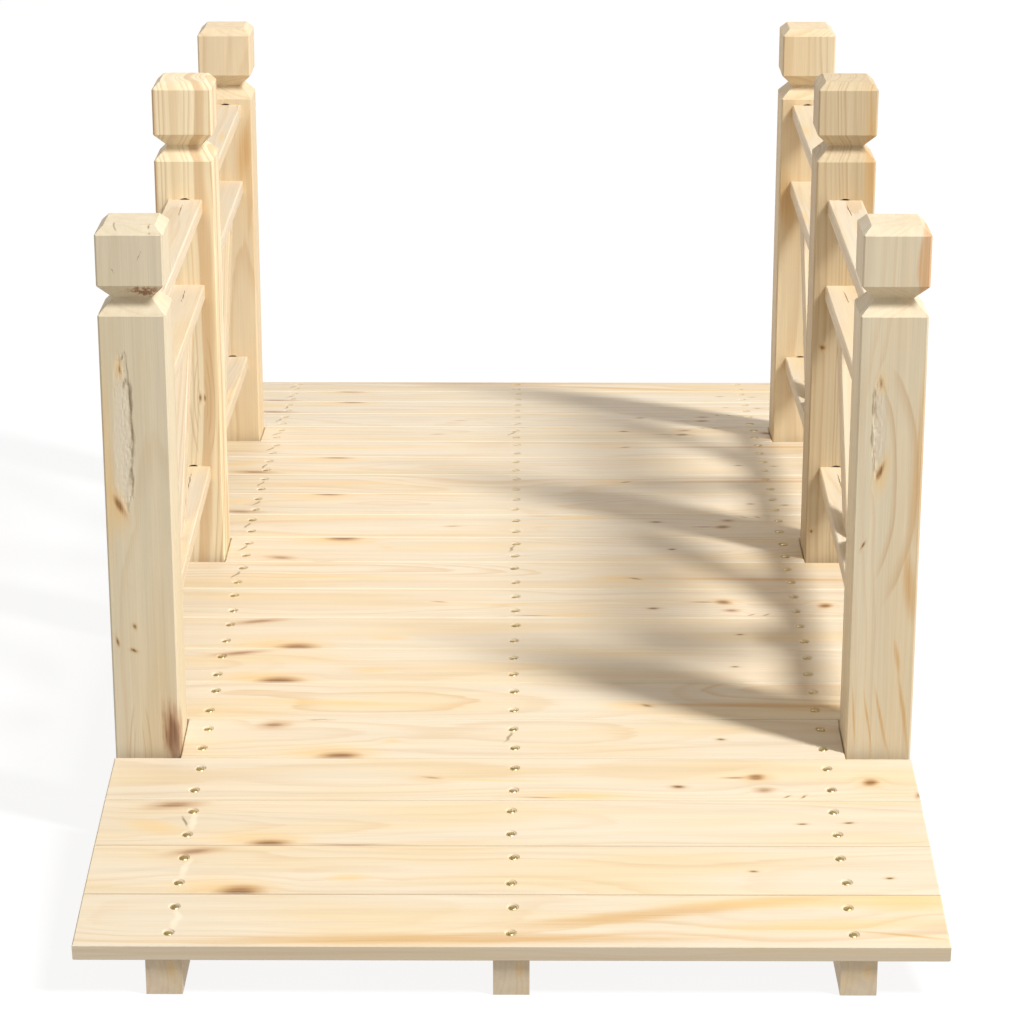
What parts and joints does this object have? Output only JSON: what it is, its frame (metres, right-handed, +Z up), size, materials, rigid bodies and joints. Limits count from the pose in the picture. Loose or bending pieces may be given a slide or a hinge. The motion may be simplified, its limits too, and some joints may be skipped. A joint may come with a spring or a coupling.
{
  "type": "wooden garden bridge",
  "caption": "Arched timber garden footbridge of cross planks on sawn stringers, with capped posts, rails and V braces on both sides.",
  "frame": {"origin": "on the ground under the middle of the deck", "axes": "+X across the walk to the right, +Y along the walk, +Z up"},
  "size_m": [0.67, 1.499, 0.563],
  "materials": {
    "deck_planks": "planed, untreated spruce with knots",
    "stringers": "planed, untreated spruce with knots",
    "posts": "planed, untreated spruce with knots",
    "rails": "planed, untreated spruce with knots",
    "braces": "planed, untreated spruce with knots"
  },
  "bodies": {
    "root": {"deck_plank_01": "deck_planks", "deck_plank_02": "deck_planks", "deck_plank_03": "deck_planks", "deck_plank_04": "deck_planks", "deck_plank_05": "deck_planks", "deck_plank_06": "deck_planks", "deck_plank_07": "deck_planks", "deck_plank_08": "deck_planks", "deck_plank_09": "deck_planks", "deck_plank_10": "deck_planks", "deck_plank_11": "deck_planks", "deck_plank_12": "deck_planks", "deck_plank_13": "deck_planks", "deck_plank_14": "deck_planks", "deck_plank_15": "deck_planks", "deck_plank_16": "deck_planks", "deck_plank_17": "deck_planks", "deck_plank_18": "deck_planks", "deck_plank_19": "deck_planks", "deck_plank_20": "deck_planks", "deck_plank_21": "deck_planks", "left_stringer": "stringers", "centre_stringer": "stringers", "right_stringer": "stringers", "left_front_post": "posts", "left_middle_post": "posts", "left_back_post": "posts", "right_front_post": "posts", "right_middle_post": "posts", "right_back_post": "posts", "left_front_top_rail": "rails", "left_front_middle_rail": "rails", "left_front_lower_rail": "rails", "left_back_top_rail": "rails", "left_back_middle_rail": "rails", "left_back_lower_rail": "rails", "right_front_top_rail": "rails", "right_front_middle_rail": "rails", "right_front_lower_rail": "rails", "right_back_top_rail": "rails", "right_back_middle_rail": "rails", "right_back_lower_rail": "rails", "left_front_inner_brace": "braces", "left_front_outer_brace": "braces", "left_back_inner_brace": "braces", "left_back_outer_brace": "braces", "right_front_inner_brace": "braces", "right_front_outer_brace": "braces", "right_back_inner_brace": "braces", "right_back_outer_brace": "braces"}
  },
  "joints": []
}
